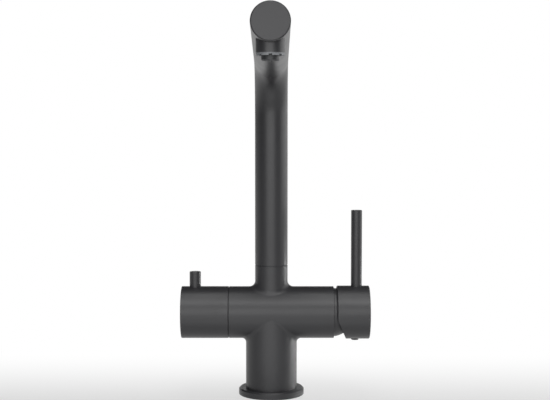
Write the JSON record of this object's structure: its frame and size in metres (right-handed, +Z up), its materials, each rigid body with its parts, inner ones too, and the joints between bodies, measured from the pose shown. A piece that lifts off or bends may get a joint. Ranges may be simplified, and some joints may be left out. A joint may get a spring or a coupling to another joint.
{
  "type": "filtered water kitchen tap",
  "caption": "Kitchen mixer tap with a swivel spout, a side mixer lever, a filter knob on the other arm and a separate filtered water way to the outlet.",
  "frame": {"origin": "middle of the base ring's underside, on the worktop and on the axis that the spout turns about", "axes": "+Z up, the spout points along -Y at rest, the mixer lever is on +X and the filter knob on -X"},
  "size_m": [0.1731, 0.2583, 0.3392],
  "materials": {
    "anthracite_metal": "satin anthracite coating",
    "brass": "machined",
    "steel": "plain",
    "black_rubber": "moulded",
    "ceramic": "lapped",
    "grey_plastic": "moulded",
    "dark_plastic": "moulded",
    "inner_plastic": "moulded"
  },
  "bodies": {
    "fixed_body": {"base_ring": "anthracite_metal", "deck_seal": "black_rubber", "body_casting": "anthracite_metal", "cartridge_base": "inner_plastic", "fixed_mixer_disc": "ceramic", "cartridge_seals": "black_rubber", "cartridge_housing": "inner_plastic", "cartridge_clamp_nut": "brass", "cartridge_dome": "anthracite_metal", "valve_seat_seal": "black_rubber", "fixed_filter_disc": "ceramic", "filter_valve_body": "brass", "filter_valve_washer": "black_rubber", "filter_slide_ring": "dark_plastic", "spout_retaining_screw": "steel"},
    "spout": {"spout_tube": "anthracite_metal", "spout_end_cap": "anthracite_metal", "spout_stem": "brass", "spout_lower_seal": "black_rubber", "spout_upper_seal": "black_rubber", "spout_slide_ring": "dark_plastic", "filter_riser_tube": "inner_plastic", "riser_ferrule": "inner_plastic", "riser_ferrule_seal": "black_rubber", "riser_elbow": "brass", "outlet_housing": "anthracite_metal", "aerator_ring": "grey_plastic", "aerator_seal": "black_rubber", "filter_nozzle": "dark_plastic", "aerator_straightener": "grey_plastic"},
    "filter_control": {"filter_knob": "anthracite_metal", "filter_knob_insert": "inner_plastic", "filter_knob_pin": "anthracite_metal", "filter_knob_screw": "steel", "filter_spindle": "brass", "filter_spindle_seal": "black_rubber", "filter_spindle_clip": "steel", "moving_filter_disc": "ceramic"},
    "mixer_turn": {"mixer_rotor": "inner_plastic", "lever_pivot_pin": "steel"},
    "mixer_lever": {"lever_spindle": "steel", "lever_cap": "anthracite_metal", "lever_rod": "anthracite_metal", "lever_grub_screw": "steel", "lever_screw_plug": "dark_plastic"},
    "mixer_slide": {"moving_mixer_disc": "ceramic", "disc_carrier": "inner_plastic"}
  },
  "joints": [
    {"name": "spout_swivel", "type": "hinge", "parent": "fixed_body", "child": "spout", "pos_m": [0, 0, 0.12], "axis": [0, 0, 1], "continuous": true},
    {"name": "filter_turn", "type": "hinge", "parent": "fixed_body", "child": "filter_control", "pos_m": [-0.06, 0, 0.076], "axis": [1, 0, 0], "range_deg": [0, 90]},
    {"name": "mixer_temperature", "type": "hinge", "parent": "fixed_body", "child": "mixer_turn", "pos_m": [0.055, 0, 0.076], "axis": [1, 0, 0], "range_deg": [-50, 50]},
    {"name": "mixer_flow", "type": "hinge", "parent": "mixer_turn", "child": "mixer_lever", "pos_m": [0.055, 0, 0.076], "axis": [0, 1, 0], "range_deg": [0, 22]},
    {"name": "mixer_disc_slide", "type": "slide", "parent": "mixer_turn", "child": "mixer_slide", "axis": [0, 0, 1], "range_m": [0, 0.0031]}
  ],
  "couplings": [
    {"joint": "mixer_disc_slide", "follows": "mixer_flow", "m_per_rad": 0.008}
  ]
}
